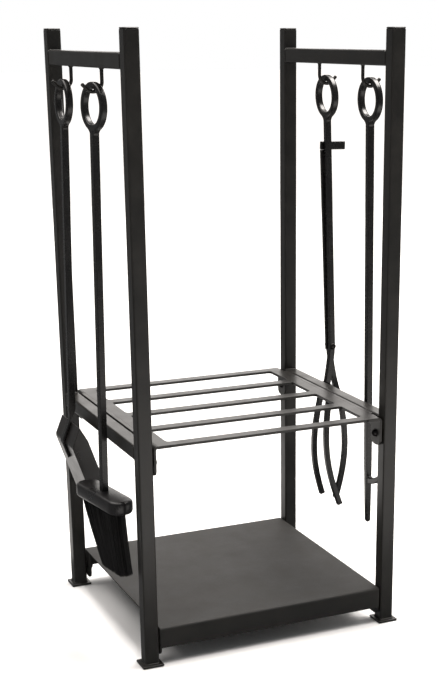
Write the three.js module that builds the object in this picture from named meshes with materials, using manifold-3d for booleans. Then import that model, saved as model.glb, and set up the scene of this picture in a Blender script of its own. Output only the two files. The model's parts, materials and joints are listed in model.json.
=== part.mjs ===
// Firewood log rack with four hanging fire tools.
//
// The rack stands on the floor with +Z up and its front towards -Y. Two side frames of square steel
// tube carry a bolted grate for logs and a bolted sheet shelf below it. Four round-rod hooks under
// the top rails hold a shovel and a brush on the left, and tongs and a poker on the right.
// The origin is the centre of the underside of the whole object's box. All sizes are millimetres.

import * as THREE from "three";
import { mergeVertices } from "three/addons/utils/BufferGeometryUtils.js";
import Module from "manifold-3d";

const wasm = await Module();
wasm.setup();

// ---------- driving dimensions ----------

// Frame
const FRAME_WIDTH = 382;
const FRAME_DEPTH = 346;
const FRAME_HEIGHT = 826;
const TUBE_SIDE = 20;
const TUBE_WALL = 1.5;
const TUBE_CORNER_RADIUS = 2;
const FOOT_THICKNESS = 3;
const FOOT_OVERHANG = 5;
const CAP_THICKNESS = 2;
const TOP_RAIL_DROP = 28.5; // from the post tops to the top of the rail
const FIT_GAP = 0.3; // between pieces that are welded or bolted together

// Grate
const GRATE_TOP = 308.5;
const GRATE_THICKNESS = 4;
const GRATE_BAR_COUNT = 5;
const GRATE_BAR_WIDTH = 17;
const GRATE_SIDE_WIDTH = 24;
const GRATE_END_INSET = 3; // behind the front face of the posts

// Shelf
const SHELF_TOP = 53.5;
const SHELF_THICKNESS = 2;
const SHELF_LIP = 30;
const SHELF_BEND_RADIUS = 4;
const SHELF_END_INSET = 1;

// Mounting tabs and their bolts, the same on the grate and the shelf
const TAB_WIDTH = 27;
const TAB_DROP = 41.5;
const TAB_THICKNESS = 3;
const TAB_BEND_RADIUS = 6;
const TAB_END_RADIUS = 9;
const TAB_CLEARANCE = 2; // between a tab and its post
const BOLT_DROP = 25;
const BOLT_HEAD_RADIUS = 6.5;
const BOLT_HEAD_HEIGHT = 5.5;
const BOLT_SHANK_RADIUS = 2.9;
const HOLE_CLEARANCE = 0.3;

// Hooks
const HOOK_SPACING = 132; // between the two hooks of one rail
const HOOK_ROD = 4.8;
const HOOK_BEND_RADIUS = 12;
const HOOK_SHANK = 16; // straight length under the rail
const HOOK_TIP = 9; // straight length after the bend
const HOOK_OPENING = 45; // degrees between the tip and the horizontal
const HOOK_OUTSET = 4.5; // from the rail's centre line to the hook's shank

// Tool handles
const RING_INNER_RADIUS = 22;
const RING_WALL = 8.3;
const RING_DEPTH = 9.5;
const TOOL_BAR = 9.5;
const BAR_EDGE_RADIUS = 0.8;

// Brush
const BRUSH_LEAN = 1.0; // degrees that a tool's foot hangs outwards
const BRUSH_TURN = 9; // degrees about the vertical
const BRUSH_SHAFT_LENGTH = 485;
const BRUSH_HEAD_LENGTH = 125;
const BRUSH_HEAD_WIDTH = 36;
const BRUSH_HEAD_HEIGHT = 19;
const BRUSH_HEAD_BEVEL = 4;
const BRUSH_SOCKET_DEPTH = 8;
const BRISTLE_LENGTH = 86;
const BRISTLE_TOP = [22, 102]; // across and along the head
const BRISTLE_TIP = [20, 76];
const BRISTLE_SWEEP = 31; // towards the front, from the head to the tips
const BRISTLE_SETBACK = 4; // of their top behind the middle of the head

// Shovel
const SHOVEL_LEAN = 1.4;
const SHOVEL_SHAFT_LENGTH = 408.5;
const PAN_WIDTH = 86;
const PAN_LENGTH = 108;
const PAN_SIDE_HEIGHT = 24;
const PAN_BACK_HEIGHT = 30;
const PAN_SHEET = 2;
const PAN_BACK_ANGLE = 21; // degrees from the vertical
const PAN_FLOOR_ANGLE = 20;
const TANG_THICKNESS = 4;
const TANG_REACH = 26; // along the pan's floor

// Poker
const POKER_LEAN = 0.7;
const POKER_LENGTH = 585;
const POKER_TAPER = 100;
const POKER_TIP_SIDE = 7;
const BARB_HEIGHT = 68; // above the poker's tip
const BARB_REACH = 36;
const BARB_THICKNESS = 8.5;
const BARB_RISE = 14;

// Tongs
const TONGS_LEAN = 1.75;
const TONGS_BAR = 9;
const TONGS_PIVOT_DROP = 340.5; // from the bottom of the ring to the rivet
const RIVET_RADIUS = 2.5;
const RIVET_HEAD_RADIUS = 5;
const RIVET_HEAD_HEIGHT = 2.5;
const PRONG_BAR = 8;
const JAW_LENGTH = 248;
const JAW_BULGE = 19;
const JAW_SKEW = 1.4; // above 1 puts the widest part of the jaws below their middle
const FORK_TIP_OFFSET = 6.4; // from the rivet's line to the fork's tips
const ARM_TIP_OFFSET = 1.7;
const FORK_DROP = 62; // from the rivet to the bridge of the fork
const FORK_TOP_SPACING = 24;
const FORK_TIP_SPACING = 62;
const ARM_THICKNESS = 5;
const ARM_TOP_WIDTH = 17;
const ARM_PIVOT_WIDTH = 13;
const ARM_LENGTH = 293; // from the rivet up to the lever
const JAW_JOG_START = 50; // from the rivet to where the arm's jaw starts to come in line with the shaft
const JAW_JOG_END = 105;
const LEVER_REACH = 40;
const LEVER_HEIGHT = 12;
const LEVER_TILT = 3; // degrees that its outer end drops

// ---------- derived places ----------

const postX = FRAME_WIDTH / 2 - TUBE_SIDE / 2;
const postY = FRAME_DEPTH / 2 - TUBE_SIDE / 2;
const postInnerX = FRAME_WIDTH / 2 - TUBE_SIDE;
const tabOuterX = postInnerX - TAB_CLEARANCE;
const railLength = FRAME_DEPTH - 2 * TUBE_SIDE - 2 * FIT_GAP;
const topRailZ = FRAME_HEIGHT - TOP_RAIL_DROP - TUBE_SIDE / 2;
const midRailZ = GRATE_TOP - TUBE_SIDE / 2;
const tabOuterY = FRAME_DEPTH / 2 - GRATE_END_INSET;
const hookTopZ = topRailZ - TUBE_SIDE / 2 - FIT_GAP;
const hookBendZ = hookTopZ - HOOK_SHANK;
const hookShankX = postX + HOOK_OUTSET;
const cradleX = hookShankX + HOOK_BEND_RADIUS;
const seatDepth = Math.sqrt((HOOK_BEND_RADIUS - HOOK_ROD / 2) ** 2 - (RING_DEPTH / 2) ** 2);
const ringOuterRadius = RING_INNER_RADIUS + RING_WALL;
const ringZ = hookBendZ - seatDepth + FIT_GAP - RING_INNER_RADIUS;

// ---------- finishes ----------

const powderCoat = () => new THREE.MeshStandardMaterial({ color: 0x3b3937, roughness: 0.45, metalness: 0.5 });
const toolBlack = () => new THREE.MeshStandardMaterial({ color: 0x2b2927, roughness: 0.4, metalness: 0.5 });
const zincBlack = () => new THREE.MeshStandardMaterial({ color: 0x2e2d2c, roughness: 0.35, metalness: 0.7 });
const mouldedBlack = () => new THREE.MeshStandardMaterial({ color: 0x242424, roughness: 0.5, metalness: 0 });
const bristleBlack = () => new THREE.MeshStandardMaterial({ color: 0x111011, roughness: 0.8, metalness: 0 });

// ---------- shared shapes ----------

const radians = THREE.MathUtils.degToRad;

/** A named mesh in a group. */
function addMesh(parent, name, geometry, material) {
  const mesh = new THREE.Mesh(geometry, material);
  mesh.name = name;
  parent.add(mesh);
  return mesh;
}

/** A closed geometry as a manifold solid, with its shared corners merged. */
function toSolid(geometry) {
  const plain = geometry.index ? geometry.toNonIndexed() : geometry.clone();
  plain.deleteAttribute("normal");
  plain.deleteAttribute("uv");
  const merged = mergeVertices(plain, 1e-4);
  return new wasm.Manifold(
    new wasm.Mesh({
      numProp: 3,
      vertProperties: new Float32Array(merged.attributes.position.array),
      triVerts: new Uint32Array(merged.index.array),
    })
  );
}

/** A manifold solid as a geometry again. */
function toGeometry(solid) {
  const mesh = solid.getMesh();
  const geometry = new THREE.BufferGeometry();
  geometry.setAttribute("position", new THREE.BufferAttribute(new Float32Array(mesh.vertProperties), 3));
  geometry.setIndex(new THREE.BufferAttribute(new Uint32Array(mesh.triVerts), 1));
  geometry.computeVertexNormals();
  return geometry;
}

/** One geometry from several that overlap. */
function join(...geometries) {
  return toGeometry(geometries.map(toSolid).reduce((whole, piece) => whole.add(piece)));
}

/** A geometry with others cut away. */
function cut(geometry, ...tools) {
  return toGeometry(tools.map(toSolid).reduce((whole, tool) => whole.subtract(tool), toSolid(geometry)));
}

/** A rectangle about the origin with rounded corners, as a shape or a hole. */
function roundedRectangle(width, height, radius, kind = THREE.Shape) {
  const outline = new kind();
  const x = width / 2 - radius;
  const y = height / 2 - radius;
  outline.absarc(x, y, radius, 0, Math.PI / 2);
  outline.absarc(-x, y, radius, Math.PI / 2, Math.PI);
  outline.absarc(-x, -y, radius, Math.PI, Math.PI * 1.5);
  outline.absarc(x, -y, radius, Math.PI * 1.5, Math.PI * 2);
  return outline;
}

/** A shape pushed along +Z from z = 0. */
function extrude(shape, depth, curveSegments = 4) {
  return new THREE.ExtrudeGeometry(shape, { depth, bevelEnabled: false, curveSegments });
}

/** A shape drawn in X and Z, given its thickness in Y about y = 0. */
function extrudeAcross(shape, thickness, curveSegments = 4) {
  return extrude(shape, thickness, curveSegments).translate(0, 0, -thickness / 2).rotateX(Math.PI / 2);
}

/** A shape drawn in Y and Z, given its thickness in X about x = 0. */
function extrudeSideways(shape, thickness, curveSegments = 4) {
  return extrude(shape, thickness, curveSegments)
    .translate(0, 0, -thickness / 2)
    .rotateX(Math.PI / 2)
    .rotateZ(Math.PI / 2);
}

/** The outline of a flat strip that follows a line of points, with mitred corners. */
function stripShape(points, width) {
  const sides = [[], []];
  points.forEach((point, i) => {
    const before = point.clone().sub(points[Math.max(i - 1, 0)]);
    const after = points[Math.min(i + 1, points.length - 1)].clone().sub(point);
    const arriving = (i > 0 ? before : after).normalize();
    const leaving = (i < points.length - 1 ? after : before).normalize();
    const along = arriving.clone().add(leaving).normalize();
    const reach = width / 2 / along.dot(leaving);
    const normal = new THREE.Vector2(-along.y, along.x).multiplyScalar(reach);
    sides[0].push(point.clone().add(normal));
    sides[1].unshift(point.clone().sub(normal));
  });
  return new THREE.Shape([...sides[0], ...sides[1]]);
}

/** A square hollow section of a given length along +Z from z = 0. */
function squareTube(length) {
  const section = roundedRectangle(TUBE_SIDE, TUBE_SIDE, TUBE_CORNER_RADIUS);
  const bore = TUBE_SIDE - 2 * TUBE_WALL;
  section.holes.push(roundedRectangle(bore, bore, Math.max(TUBE_CORNER_RADIUS - TUBE_WALL, 0.5), THREE.Path));
  return extrude(section, length);
}

/** A solid square bar with eased edges, hanging from z = 0 down to -length. */
function squareBar(side, length) {
  return extrude(roundedRectangle(side, side, BAR_EDGE_RADIUS), length, 2).translate(0, 0, -length);
}

/** A pin along X about the origin. */
function pinAlongX(radius, length) {
  return new THREE.CylinderGeometry(radius, radius, length, 20).rotateZ(Math.PI / 2);
}

/** A pin along Y about the origin. */
function pinAlongY(radius, length) {
  return new THREE.CylinderGeometry(radius, radius, length, 20);
}

// ---------- rack ----------

const rack = new THREE.Group();
const sides = [["left", -1], ["right", 1]];
const ends = [["front", -1], ["back", 1]];
const boltZs = { grate: GRATE_TOP - BOLT_DROP, shelf: SHELF_TOP - BOLT_DROP };
const boltY = tabOuterY - TAB_WIDTH / 2;

for (const [side, sx] of sides) {
  for (const [end, sy] of ends) {
    const corner = `${end}_${side}`;
    const tubeLength = FRAME_HEIGHT - FOOT_THICKNESS - CAP_THICKNESS - 2 * FIT_GAP;
    const tube = squareTube(tubeLength).translate(sx * postX, sy * postY, FOOT_THICKNESS + FIT_GAP);
    const holes = Object.values(boltZs).map((z) =>
      pinAlongX(BOLT_SHANK_RADIUS + HOLE_CLEARANCE, 4 * TUBE_WALL).translate(sx * postInnerX, sy * boltY, z)
    );
    addMesh(rack, `post_${corner}`, cut(tube, ...holes), powderCoat());

    const cap = extrude(roundedRectangle(TUBE_SIDE, TUBE_SIDE, TUBE_CORNER_RADIUS), CAP_THICKNESS);
    const capMesh = addMesh(rack, `post_cap_${corner}`, cap, powderCoat());
    capMesh.position.set(sx * postX, sy * postY, FRAME_HEIGHT - CAP_THICKNESS);

    const footSide = TUBE_SIDE + 2 * FOOT_OVERHANG;
    const foot = new THREE.BoxGeometry(footSide, footSide, FOOT_THICKNESS);
    const footMesh = addMesh(rack, `foot_plate_${corner}`, foot, powderCoat());
    footMesh.position.set(sx * postX, sy * postY, FOOT_THICKNESS / 2);
  }

  for (const [level, z] of [["top", topRailZ], ["middle", midRailZ]]) {
    const rail = squareTube(railLength).translate(0, 0, -railLength / 2).rotateX(Math.PI / 2);
    const mesh = addMesh(rack, `${level}_rail_${side}`, rail, powderCoat());
    mesh.position.set(sx * postX, 0, z);
  }
}

// ---------- mounting tabs ----------

/** A tab at the right-hand end of a sheet: flat from x = inner, bent down to the tab, and holed. */
function mountingTab(innerX, topZ, thickness, sy, boltZ) {
  const bendX = tabOuterX - TAB_BEND_RADIUS;
  const bendZ = topZ - TAB_BEND_RADIUS;
  const foot = topZ - TAB_DROP;
  const profile = new THREE.Shape();
  profile.moveTo(innerX, topZ - thickness);
  profile.lineTo(innerX, topZ);
  profile.lineTo(bendX, topZ);
  profile.absarc(bendX, bendZ, TAB_BEND_RADIUS, Math.PI / 2, 0, true);
  profile.lineTo(tabOuterX, foot);
  profile.lineTo(tabOuterX - TAB_THICKNESS, foot);
  profile.lineTo(tabOuterX - TAB_THICKNESS, bendZ);
  profile.lineTo(bendX, topZ - thickness);
  const folded = extrudeAcross(profile, TAB_WIDTH).translate(0, sy * boltY, 0);

  const outline = new THREE.Shape();
  const half = TAB_WIDTH / 2;
  outline.moveTo(-half, topZ + 1);
  outline.lineTo(-half, foot + TAB_END_RADIUS);
  outline.absarc(-half + TAB_END_RADIUS, foot + TAB_END_RADIUS, TAB_END_RADIUS, Math.PI, Math.PI * 1.5);
  outline.absarc(half - TAB_END_RADIUS, foot + TAB_END_RADIUS, TAB_END_RADIUS, Math.PI * 1.5, Math.PI * 2);
  outline.lineTo(half, topZ + 1);
  const trim = extrudeSideways(outline, 2 * FRAME_WIDTH).translate(0, sy * boltY, 0);
  const hole = pinAlongX(BOLT_SHANK_RADIUS + HOLE_CLEARANCE, 4 * TAB_THICKNESS);
  hole.translate(tabOuterX - TAB_THICKNESS / 2, sy * boltY, boltZ);
  return toGeometry(toSolid(folded).intersect(toSolid(trim)).subtract(toSolid(hole)));
}

// ---------- grate ----------

const sideInnerX = tabOuterX - GRATE_SIDE_WIDTH;
for (const [side, sx] of sides) {
  const strip = new THREE.BoxGeometry(GRATE_SIDE_WIDTH, 2 * tabOuterY - 2 * TAB_WIDTH + 1, GRATE_THICKNESS);
  strip.translate(tabOuterX - GRATE_SIDE_WIDTH / 2, 0, GRATE_TOP - GRATE_THICKNESS / 2);
  const tabs = ends.map(([, sy]) => mountingTab(sideInnerX, GRATE_TOP, GRATE_THICKNESS, sy, boltZs.grate));
  const flange = join(strip, ...tabs);
  if (sx < 0) flange.rotateZ(Math.PI);
  addMesh(rack, `grate_side_${side}`, flange, powderCoat());
}

const barPitch = (2 * tabOuterY - GRATE_BAR_WIDTH) / (GRATE_BAR_COUNT - 1);
const barLength = 2 * (sideInnerX - FIT_GAP);
for (let i = 0; i < GRATE_BAR_COUNT; i += 1) {
  const section = roundedRectangle(GRATE_BAR_WIDTH, GRATE_THICKNESS, 1);
  const bar = extrudeSideways(section, barLength, 2);
  const mesh = addMesh(rack, `grate_bar_${i + 1}`, bar, powderCoat());
  mesh.position.set(0, -tabOuterY + GRATE_BAR_WIDTH / 2 + i * barPitch, GRATE_TOP - GRATE_THICKNESS / 2);
}

// ---------- shelf ----------

/** The shelf's sheet: a flat deck with its front and back edges bent down. */
function shelfDeck() {
  const y = FRAME_DEPTH / 2 - SHELF_END_INSET;
  const bend = SHELF_BEND_RADIUS;
  const inner = bend - SHELF_THICKNESS;
  const profile = new THREE.Shape();
  profile.moveTo(-y, SHELF_TOP - SHELF_LIP);
  profile.lineTo(-y + SHELF_THICKNESS, SHELF_TOP - SHELF_LIP);
  profile.absarc(-y + bend, SHELF_TOP - bend, inner, Math.PI, Math.PI / 2, true);
  profile.absarc(y - bend, SHELF_TOP - bend, inner, Math.PI / 2, 0, true);
  profile.lineTo(y - SHELF_THICKNESS, SHELF_TOP - SHELF_LIP);
  profile.lineTo(y, SHELF_TOP - SHELF_LIP);
  profile.absarc(y - bend, SHELF_TOP - bend, bend, 0, Math.PI / 2);
  profile.absarc(-y + bend, SHELF_TOP - bend, bend, Math.PI / 2, Math.PI);
  return extrudeSideways(profile, 2 * (tabOuterX - TAB_THICKNESS + 0.1));
}

const deckTabs = [];
for (const [, sx] of sides) {
  for (const [, sy] of ends) {
    const tab = mountingTab(tabOuterX - GRATE_SIDE_WIDTH, SHELF_TOP, SHELF_THICKNESS, sx * sy, boltZs.shelf);
    deckTabs.push(sx < 0 ? tab.rotateZ(Math.PI) : tab);
  }
}
const edgeStrips = sides.map(([, sx]) =>
  new THREE.BoxGeometry(GRATE_SIDE_WIDTH, 2 * tabOuterY - 2 * TAB_WIDTH + 1, SHELF_THICKNESS).translate(
    sx * (tabOuterX - GRATE_SIDE_WIDTH / 2),
    0,
    SHELF_TOP - SHELF_THICKNESS / 2
  )
);
addMesh(rack, "shelf_panel", join(shelfDeck(), ...edgeStrips, ...deckTabs), powderCoat());

// ---------- bolts ----------

/** A round-headed bolt along X, its head on the inner side of a tab at x = 0 and its shank towards +X. */
function bolt() {
  const domeSteps = 6;
  const end = TAB_THICKNESS + TAB_CLEARANCE + TUBE_WALL;
  const profile = [new THREE.Vector2(0, end), new THREE.Vector2(BOLT_SHANK_RADIUS, end)];
  profile.push(new THREE.Vector2(BOLT_SHANK_RADIUS, -FIT_GAP));
  for (let i = 0; i <= domeSteps; i += 1) {
    const angle = (i / domeSteps) * (Math.PI / 2);
    profile.push(new THREE.Vector2(BOLT_HEAD_RADIUS * Math.cos(angle), -FIT_GAP - BOLT_HEAD_HEIGHT * Math.sin(angle)));
  }
  profile[profile.length - 1].x = 0;
  return new THREE.LatheGeometry(profile.reverse(), 20).rotateZ(-Math.PI / 2);
}

for (const [level, z] of Object.entries(boltZs)) {
  for (const [side, sx] of sides) {
    for (const [end, sy] of ends) {
      const mesh = addMesh(rack, `${level}_bolt_${end}_${side}`, bolt(), zincBlack());
      mesh.position.set(sx * (tabOuterX - TAB_THICKNESS), sy * boltY, z);
      mesh.rotation.z = sx < 0 ? Math.PI : 0;
    }
  }
}

// ---------- hooks ----------

/** A J-shaped rod hook that opens towards +X, with its shank's top at the origin. */
function hook() {
  const bendSteps = 12;
  const centre = new THREE.Vector3(HOOK_BEND_RADIUS, 0, -HOOK_SHANK);
  const points = [new THREE.Vector3(0, 0, 0), new THREE.Vector3(0, 0, -HOOK_SHANK / 2)];
  const sweep = radians(180 - HOOK_OPENING);
  for (let i = 0; i <= bendSteps; i += 1) {
    const angle = Math.PI + (i / bendSteps) * sweep;
    const spoke = new THREE.Vector3(Math.cos(angle), 0, Math.sin(angle)).multiplyScalar(HOOK_BEND_RADIUS);
    points.push(spoke.add(centre));
  }
  const opening = radians(HOOK_OPENING);
  const tip = new THREE.Vector3(Math.cos(opening), 0, Math.sin(opening)).multiplyScalar(HOOK_TIP);
  points.push(points[points.length - 1].clone().add(tip));
  const path = new THREE.CatmullRomCurve3(points, false, "centripetal");
  const section = new THREE.Shape();
  section.absarc(0, 0, HOOK_ROD / 2, 0, Math.PI * 2);
  return new THREE.ExtrudeGeometry(section, { steps: 22, curveSegments: 10, extrudePath: path });
}

for (const [side, sx] of sides) {
  for (const [end, sy] of ends) {
    const mesh = addMesh(rack, `hook_${end}_${side}`, hook(), powderCoat());
    mesh.position.set(sx * hookShankX, (sy * HOOK_SPACING) / 2, hookTopZ);
    mesh.rotation.z = sx < 0 ? Math.PI : 0;
  }
}

// ---------- tools ----------

/** A group for one tool. Its origin is the centre of its ring, and its local +X points away from the rack. */
function hangTool(sx, sy, lean, turn = 0) {
  const tool = new THREE.Group();
  tool.position.set(sx * cradleX, (sy * HOOK_SPACING) / 2, ringZ);
  tool.rotation.order = "ZYX";
  tool.rotation.z = radians(turn) + (sx < 0 ? Math.PI : 0);
  tool.rotation.y = -radians(lean);
  rack.add(tool);
  return tool;
}

/** The ring handle, bent from square bar, with its axis along X. */
function handleRing() {
  const half = RING_DEPTH / 2;
  const ease = 1.2;
  const low = RING_INNER_RADIUS;
  const high = ringOuterRadius;
  const corners = [
    [low + ease, -half], [high - ease, -half], [high, -half + ease], [high, half - ease],
    [high - ease, half], [low + ease, half], [low, half - ease], [low, -half + ease], [low + ease, -half],
  ];
  const profile = corners.map(([r, x]) => new THREE.Vector2(r, x));
  return new THREE.LatheGeometry(profile, 40).rotateZ(Math.PI / 2);
}

const shaftTop = -ringOuterRadius - FIT_GAP;

/** The ring of a tool and its straight square shaft. */
function addHandle(tool, name, side, length) {
  addMesh(tool, `${name}_ring`, handleRing(), toolBlack());
  return squareBar(side, length).translate(0, 0, shaftTop);
}

// ---------- brush ----------

const brush = hangTool(-1, -1, BRUSH_LEAN, BRUSH_TURN);
const brushShaft = addHandle(brush, "brush", TOOL_BAR, BRUSH_SHAFT_LENGTH);
addMesh(brush, "brush_shaft", brushShaft, toolBlack());

const headTop = shaftTop - BRUSH_SHAFT_LENGTH + BRUSH_SOCKET_DEPTH;
const headRadius = BRUSH_HEAD_WIDTH / 2 - BRUSH_HEAD_BEVEL;
const headShape = roundedRectangle(
  BRUSH_HEAD_WIDTH - 2 * BRUSH_HEAD_BEVEL,
  BRUSH_HEAD_LENGTH - 2 * BRUSH_HEAD_BEVEL,
  headRadius - 0.01
);
const headBlock = new THREE.ExtrudeGeometry(headShape, {
  depth: BRUSH_HEAD_HEIGHT - 2 * BRUSH_HEAD_BEVEL,
  bevelThickness: BRUSH_HEAD_BEVEL,
  bevelSize: BRUSH_HEAD_BEVEL,
  bevelSegments: 4,
  curveSegments: 7,
}).translate(0, 0, headTop - BRUSH_HEAD_HEIGHT + BRUSH_HEAD_BEVEL);
const socketSide = TOOL_BAR + 2 * FIT_GAP;
const socket = new THREE.BoxGeometry(socketSide, socketSide, 2 * (BRUSH_SOCKET_DEPTH + FIT_GAP));
addMesh(brush, "brush_head", cut(headBlock, socket.translate(0, 0, headTop)), mouldedBlack());

/** The bristle block: a prism that narrows and sweeps forward towards the tips. */
function bristleBlock() {
  const prism = extrude(roundedRectangle(...BRISTLE_TOP, 8), 1, 5);
  const position = prism.attributes.position;
  for (let i = 0; i < position.count; i += 1) {
    const down = 1 - position.getZ(i);
    const wide = THREE.MathUtils.lerp(1, BRISTLE_TIP[0] / BRISTLE_TOP[0], down);
    const long = THREE.MathUtils.lerp(1, BRISTLE_TIP[1] / BRISTLE_TOP[1], down);
    const y = position.getY(i) * long + BRISTLE_SWEEP * down;
    position.setXYZ(i, position.getX(i) * wide, y, -down * BRISTLE_LENGTH);
  }
  return prism;
}
const bristles = bristleBlock().translate(0, -BRISTLE_SETBACK, headTop - BRUSH_HEAD_HEIGHT - FIT_GAP);
addMesh(brush, "brush_bristles", bristles, bristleBlack());

// ---------- shovel ----------

const shovel = hangTool(-1, 1, SHOVEL_LEAN);
const backAngle = radians(PAN_BACK_ANGLE);
const floorAngle = radians(PAN_FLOOR_ANGLE);
const shovelShaft = addHandle(shovel, "shovel", TOOL_BAR, SHOVEL_SHAFT_LENGTH);
const tangX = (TOOL_BAR - TANG_THICKNESS) / 2;
const tangTop = new THREE.Vector2(tangX, shaftTop - SHOVEL_SHAFT_LENGTH);
const tangBackLength = PAN_BACK_HEIGHT + TANG_THICKNESS;
const tangKnee = tangTop.clone().add(
  new THREE.Vector2(Math.sin(backAngle), -Math.cos(backAngle)).multiplyScalar(tangBackLength)
);
const floorWay = new THREE.Vector2(-Math.sin(floorAngle), -Math.cos(floorAngle));
const tangEnd = tangKnee.clone().add(floorWay.clone().multiplyScalar(TANG_REACH));
const tangLead = new THREE.Vector2(tangX, tangTop.y + TOOL_BAR);
const tang = extrudeAcross(stripShape([tangLead, tangTop, tangKnee, tangEnd], TANG_THICKNESS), TOOL_BAR + 2);
addMesh(shovel, "shovel_shaft", join(shovelShaft, tang), toolBlack());

/** The pan: a floor and a back folded from one sheet, between two side walls. */
function shovelPan() {
  const offset = TANG_THICKNESS / 2 + PAN_SHEET / 2 + FIT_GAP;
  const halfFold = (backAngle + floorAngle) / 2;
  const bisector = new THREE.Vector2(-1, -Math.tan((backAngle - floorAngle) / 2)).normalize();
  const knee = tangKnee.clone().add(bisector.multiplyScalar(offset / Math.cos(halfFold)));
  const backWay = new THREE.Vector2(-Math.sin(backAngle), Math.cos(backAngle));
  const top = knee.clone().add(backWay.clone().multiplyScalar(PAN_BACK_HEIGHT));
  const lip = knee.clone().add(floorWay.clone().multiplyScalar(PAN_LENGTH));
  const inward = new THREE.Vector2(-Math.cos(floorAngle), Math.sin(floorAngle));
  const sheet = extrudeAcross(stripShape([top, knee, lip], PAN_SHEET), PAN_WIDTH);

  const wallTop = knee.clone().add(inward.clone().multiplyScalar(PAN_SIDE_HEIGHT));
  const wallLip = lip.clone().add(inward.clone().multiplyScalar(PAN_SIDE_HEIGHT));
  const shoulder = wallTop.clone().add(floorWay.clone().multiplyScalar(-PAN_SIDE_HEIGHT * 0.1));
  const wall = new THREE.Shape([knee, lip, wallLip]);
  wall.lineTo(wallTop.x, wallTop.y);
  wall.quadraticCurveTo(shoulder.x, shoulder.y, top.x, top.y);
  const walls = sides.map(([, s]) =>
    extrudeAcross(wall, PAN_SHEET).translate(0, s * (PAN_WIDTH / 2 - PAN_SHEET / 2), 0)
  );
  return join(sheet, ...walls);
}
addMesh(shovel, "shovel_pan", shovelPan(), toolBlack());

// ---------- poker ----------

const poker = hangTool(1, -1, POKER_LEAN);
addMesh(poker, "poker_ring", handleRing(), toolBlack());

/** The poker's shaft: square bar that tapers to a rounded point. */
function pokerShaft() {
  const toCorner = Math.SQRT1_2;
  const tipRadius = POKER_TIP_SIDE * toCorner;
  const bottom = shaftTop - POKER_LENGTH;
  const profile = [new THREE.Vector2(0, bottom)];
  const noseSteps = 4;
  for (let i = 1; i <= noseSteps; i += 1) {
    const angle = (i / noseSteps) * (Math.PI / 2);
    const z = bottom + tipRadius * (1 - Math.cos(angle));
    profile.push(new THREE.Vector2(tipRadius * Math.sin(angle), z));
  }
  profile.push(new THREE.Vector2(TOOL_BAR * toCorner, bottom + POKER_TAPER));
  profile.push(new THREE.Vector2(TOOL_BAR * toCorner, shaftTop));
  profile.push(new THREE.Vector2(0, shaftTop));
  return new THREE.LatheGeometry(profile, 4).rotateY(Math.PI / 4).rotateX(Math.PI / 2);
}
addMesh(poker, "poker_shaft", pokerShaft(), toolBlack());

/** The poker's barb: a short bar that leaves the shaft towards the front and curves up to a point. */
function pokerBarb() {
  const z = shaftTop - POKER_LENGTH + BARB_HEIGHT;
  const start = -TOOL_BAR / 2 - FIT_GAP;
  const points = [];
  const steps = 6;
  for (let i = 0; i <= steps; i += 1) {
    const t = i / steps;
    points.push(new THREE.Vector2(start - BARB_REACH * t, z + BARB_RISE * t * t));
  }
  return extrudeSideways(stripShape(points, BARB_THICKNESS), BARB_THICKNESS);
}
addMesh(poker, "poker_barb", pokerBarb(), toolBlack());

// ---------- tongs ----------

const tongs = hangTool(1, 1, TONGS_LEAN);
const pivotZ = shaftTop - TONGS_PIVOT_DROP;
const armY = TONGS_BAR / 2 + FIT_GAP + ARM_THICKNESS / 2;
const rivetHole = RIVET_RADIUS + HOLE_CLEARANCE;
addMesh(tongs, "tongs_ring", handleRing(), toolBlack());

/** The centre line of a stretch of jaw, in drops below the rivet; it bulges towards +X or -X. */
function jawLine(from, to, way, tip, steps, sideways = () => 0) {
  return Array.from({ length: steps + 1 }, (_, i) => {
    const drop = from + ((to - from) * i) / steps;
    const t = drop / JAW_LENGTH;
    const swell = JAW_BULGE * Math.sin(Math.PI * t ** JAW_SKEW) + tip * t;
    return new THREE.Vector3(way * swell, sideways(drop), pivotZ - drop);
  });
}

/** A square bar that follows a falling line of points, with two of its faces square to Y. */
function barAlong(points, side) {
  const corners = [];
  const faces = [];
  const last = points.length - 1;
  points.forEach((point, i) => {
    const way = points[Math.min(i + 1, last)].clone().sub(points[Math.max(i - 1, 0)]);
    const normal = new THREE.Vector3(-way.z, 0, way.x).normalize().multiplyScalar(side / 2);
    for (const [a, b] of [[1, 1], [1, -1], [-1, -1], [-1, 1]]) {
      corners.push(point.x + a * normal.x, point.y + (b * side) / 2, point.z + a * normal.z);
    }
  });
  for (let i = 0; i < last; i += 1) {
    for (let k = 0; k < 4; k += 1) {
      const here = 4 * i + k;
      const beside = 4 * i + ((k + 1) % 4);
      faces.push(here, beside, beside + 4, here, beside + 4, here + 4);
    }
  }
  const end = 4 * last;
  faces.push(0, 3, 2, 0, 2, 1, end, end + 1, end + 2, end, end + 2, end + 3);
  const geometry = new THREE.BufferGeometry();
  geometry.setAttribute("position", new THREE.Float32BufferAttribute(corners, 3));
  geometry.setIndex(faces);
  return geometry;
}

/** The fixed bar: straight down to the rivet, then curving until it meets the fork. */
function tongsShaft() {
  const straight = squareBar(TONGS_BAR, TONGS_PIVOT_DROP + TONGS_BAR).translate(0, 0, shaftTop);
  const line = jawLine(0, FORK_DROP, -1, FORK_TIP_OFFSET, 8);
  const curved = barAlong(line, PRONG_BAR);
  const hole = pinAlongY(rivetHole, 4 * TONGS_BAR).translate(0, 0, pivotZ);
  const root = line[line.length - 1];
  const room = new THREE.BoxGeometry(4 * PRONG_BAR, 4 * PRONG_BAR, PRONG_BAR + 2 * FIT_GAP);
  return cut(join(straight, curved), hole, room.translate(root.x, 0, root.z));
}
addMesh(tongs, "tongs_shaft", tongsShaft(), toolBlack());

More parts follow.
